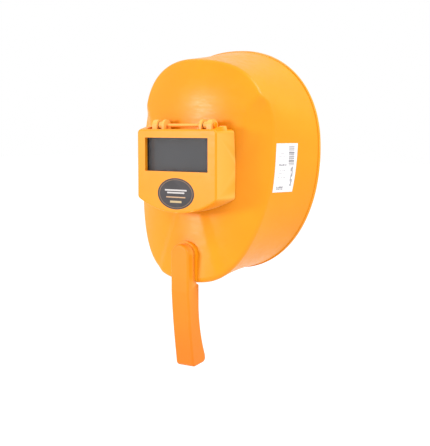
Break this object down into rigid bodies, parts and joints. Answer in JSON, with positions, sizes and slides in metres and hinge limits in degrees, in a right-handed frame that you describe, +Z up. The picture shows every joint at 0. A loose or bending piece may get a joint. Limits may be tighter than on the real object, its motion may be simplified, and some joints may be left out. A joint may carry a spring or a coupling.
{
  "type": "hand-held welding face shield",
  "caption": "Hand-held welding face shield: moulded dome shell with deep skirt, flip-up filter window on a hinge rod, and a straight handle.",
  "frame": {"origin": "centre of the hand grip: the middle of the handle where a fist closes round it", "axes": "+Z up along the handle towards the forehead dome, -Y out of the front through the viewing window, +Y towards the wearer, +X to the right as seen from the front"},
  "size_m": [0.2578, 0.135, 0.405],
  "materials": {
    "shell_plastic": "moulded orange polypropylene, satin with a fine orange-peel texture",
    "frame_plastic": "moulded orange polypropylene, satin",
    "handle_plastic": "moulded orange polypropylene, satin, slightly worn where it is held",
    "rod_plastic": "extruded orange plastic rod",
    "clear_glass": "polished clear safety glass",
    "dark_glass": "polished dark grey-green welding filter glass",
    "gasket_rubber": "matt black foam rubber",
    "retainer_plastic": "black moulded plastic, fine grain",
    "zinc_steel": "bright zinc-plated steel",
    "insert_brass": "turned brass",
    "emblem_film": null,
    "label_paper": null
  },
  "bodies": {
    "shield": {"shell": "shell_plastic", "handle": "handle_plastic", "inner_glass": "clear_glass", "inner_gasket": "gasket_rubber", "inner_retainer": "retainer_plastic", "inner_retainer_screws": "zinc_steel", "handle_screws": "zinc_steel", "handle_washers": "zinc_steel", "handle_inserts": "insert_brass", "hinge_rod": "rod_plastic", "friction_washers": "gasket_rubber", "rod_caps": "rod_plastic", "spec_label": "label_paper"},
    "flip_window": {"lens_frame": "frame_plastic", "cover_glass": "clear_glass", "filter_glass": "dark_glass", "filter_gasket": "gasket_rubber", "filter_retainer": "retainer_plastic", "filter_retainer_screws": "zinc_steel", "oval_emblem": "emblem_film"}
  },
  "joints": [
    {"name": "window_flip", "type": "hinge", "parent": "shield", "child": "flip_window", "pos_m": [0, -0.0015, 0.249], "axis": [-1, 0, 0], "range_deg": [0, 110]}
  ]
}
